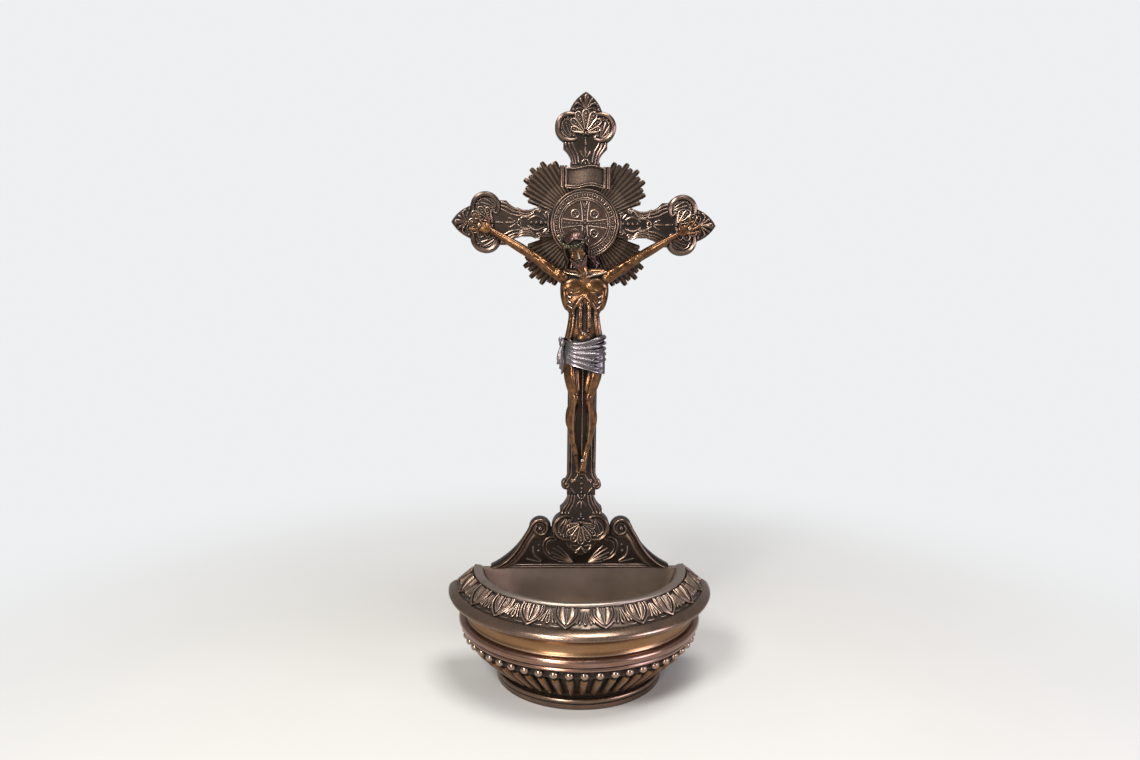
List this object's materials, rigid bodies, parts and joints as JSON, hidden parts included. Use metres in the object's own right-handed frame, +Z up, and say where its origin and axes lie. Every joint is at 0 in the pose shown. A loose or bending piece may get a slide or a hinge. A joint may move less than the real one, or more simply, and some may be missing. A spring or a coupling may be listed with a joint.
{
  "type": "holy water stoup",
  "caption": "Small wall stoup: half-round water bowl with leaf collar, beads and reeds, under a trefoil-ended cross with rays, medal and crucified figure, bronze finish.",
  "frame": {"origin": "on the surface that the foot stands on, under the middle of the object's footprint; the wall plane is at y = +27.7 mm", "axes": "+Z up the cross, +Y into the wall, so the bowl and the figure face -Y and +X is to the viewer's right"},
  "size_m": [0.1108, 0.0554, 0.24],
  "materials": {
    "bowl_bronze": "antiqued bronze, dark in the hollows, rubbed on the edges",
    "band_bronze": "antiqued bronze, golden brown, satin",
    "cross_bronze": "antiqued bronze, very dark, with rubbed ridges",
    "figure_bronze": "antiqued copper-gold bronze, half polished",
    "cloth_bronze": "silvered bronze, dark in the folds",
    "crown_bronze": "antiqued bronze with a green tone",
    "steel": "zinc-plated",
    "felt": "black felt"
  },
  "bodies": {
    "root": {"basin": "bowl_bronze", "leaf_collar": "bowl_bronze", "collar_leaves": "bowl_bronze", "collar_sprigs": "bowl_bronze", "bead_course": "bowl_bronze", "reeded_skirt": "bowl_bronze", "foot": "bowl_bronze", "bowl_back": "bowl_bronze", "hollow_band": "band_bronze", "back_panel": "cross_bronze", "panel_sill": "cross_bronze", "cross_plate": "cross_bronze", "cross_top": "cross_bronze", "ray_burst": "cross_bronze", "medal": "cross_bronze", "medal_cross": "cross_bronze", "medal_beads": "cross_bronze", "title_scroll": "cross_bronze", "trefoil_rims": "cross_bronze", "neck_bars": "cross_bronze", "edge_strips": "cross_bronze", "knop_studs": "cross_bronze", "left_panel_rail": "cross_bronze", "right_panel_rail": "cross_bronze", "left_panel_tuft": "cross_bronze", "right_panel_tuft": "cross_bronze", "top_shell": "cross_bronze", "left_shell": "cross_bronze", "right_shell": "cross_bronze", "foot_shell": "cross_bronze", "top_palmette": "cross_bronze", "left_palmette": "cross_bronze", "right_palmette": "cross_bronze", "foot_palmette": "cross_bronze", "figure_body": "figure_bronze", "figure_head": "figure_bronze", "left_arm": "figure_bronze", "right_arm": "figure_bronze", "figure_pins": "figure_bronze", "loincloth": "cloth_bronze", "thorn_crown": "crown_bronze", "hanging_plate": "steel", "hanging_screws": "steel", "panel_screws": "steel", "panel_dowels": "steel", "foot_pad": "felt"}
  },
  "joints": []
}
